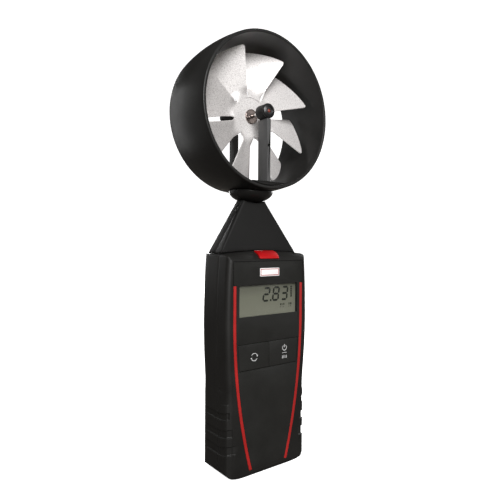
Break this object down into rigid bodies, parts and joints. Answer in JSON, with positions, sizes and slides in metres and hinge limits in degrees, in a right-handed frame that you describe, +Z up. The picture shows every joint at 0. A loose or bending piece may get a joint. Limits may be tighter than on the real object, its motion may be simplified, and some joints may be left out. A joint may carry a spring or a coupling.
{
  "type": "vane anemometer",
  "caption": "Handheld vane anemometer with a keyed display case, tapered neck, and a round duct with a free-spinning bladed vane.",
  "frame": {"origin": "centre of the case's flat base, midway through the case's thickness", "axes": "+Z up along the instrument towards the duct, +X to the right seen from the front, +Y to the back; the vane's axis is parallel to Y, 246 mm up"},
  "size_m": [0.1096, 0.0462, 0.3008],
  "materials": {
    "case_plastic": "fine matt moulded black",
    "duct_plastic": "satin moulded black",
    "strut_grey": "satin dark grey",
    "panel_gloss": "smooth black",
    "red_trim": "smooth red",
    "badge_white": "smooth white",
    "clear_window": "clear",
    "lcd": "grey-green display",
    "vane_metal": "fine bead-blasted",
    "steel": "polished",
    "dark_screw": "black",
    "jewel": "polished orange jewel",
    "copper": "wound copper",
    "board": "circuit board",
    "cell": "cell wrap",
    "lead": "cable sheath"
  },
  "bodies": {
    "instrument": {"front_shell": "case_plastic", "rear_shell": "case_plastic", "duct_ring": "duct_plastic", "neck_front": "duct_plastic", "neck_rear": "duct_plastic", "collar_front": "duct_plastic", "collar_rear": "duct_plastic", "strut_foot_front": "duct_plastic", "strut_foot_rear": "duct_plastic", "strut_rear": "duct_plastic", "strut_front": "strut_grey", "battery_tray": "strut_grey", "front_panel": "panel_gloss", "bearing_housing_front": "panel_gloss", "bearing_screw_front": "panel_gloss", "sensor_housing": "panel_gloss", "red_strip_left": "red_trim", "red_strip_right": "red_trim", "red_top_tab": "red_trim", "badge_plate": "badge_white", "display_holder": "badge_white", "lead_connector": "badge_white", "display_window": "clear_window", "display_glass": "lcd", "case_screw_1": "steel", "case_screw_2": "steel", "case_screw_3": "steel", "case_screw_4": "steel", "neck_screw_1": "steel", "neck_screw_2": "steel", "ring_screw_1": "steel", "ring_screw_2": "steel", "switch_left": "steel", "switch_right": "steel", "spring_contacts": "steel", "plate_contacts": "steel", "strut_set_screw": "dark_screw", "processor_chip": "dark_screw", "jewel_front": "jewel", "jewel_rear": "jewel", "pickup_coil": "copper", "circuit_board": "board", "battery_1": "cell", "battery_2": "cell", "battery_3": "cell", "battery_4": "cell", "sensor_lead": "lead"},
    "vane": {"impeller": "vane_metal", "vane_shaft": "steel", "hub_boss_front": "steel", "hub_boss_rear": "steel"},
    "left_key": {"key_left": "panel_gloss"},
    "right_key": {"key_right": "panel_gloss"},
    "door": {"battery_door": "case_plastic"}
  },
  "joints": [
    {"name": "vane_spin", "type": "hinge", "parent": "instrument", "child": "vane", "pos_m": [0, 0.0052, 0.246], "axis": [0, 1, 0], "continuous": true},
    {"name": "left_key_press", "type": "slide", "parent": "instrument", "child": "left_key", "axis": [0, 1, 0], "range_m": [0, 0.0005], "stiffness_N_per_m": 400},
    {"name": "right_key_press", "type": "slide", "parent": "instrument", "child": "right_key", "axis": [0, 1, 0], "range_m": [0, 0.0005], "stiffness_N_per_m": 400},
    {"name": "battery_door_swing", "type": "hinge", "parent": "instrument", "child": "door", "pos_m": [0, 0.0169, 0.0216], "axis": [-1, 0, 0], "range_deg": [0, 80]}
  ]
}
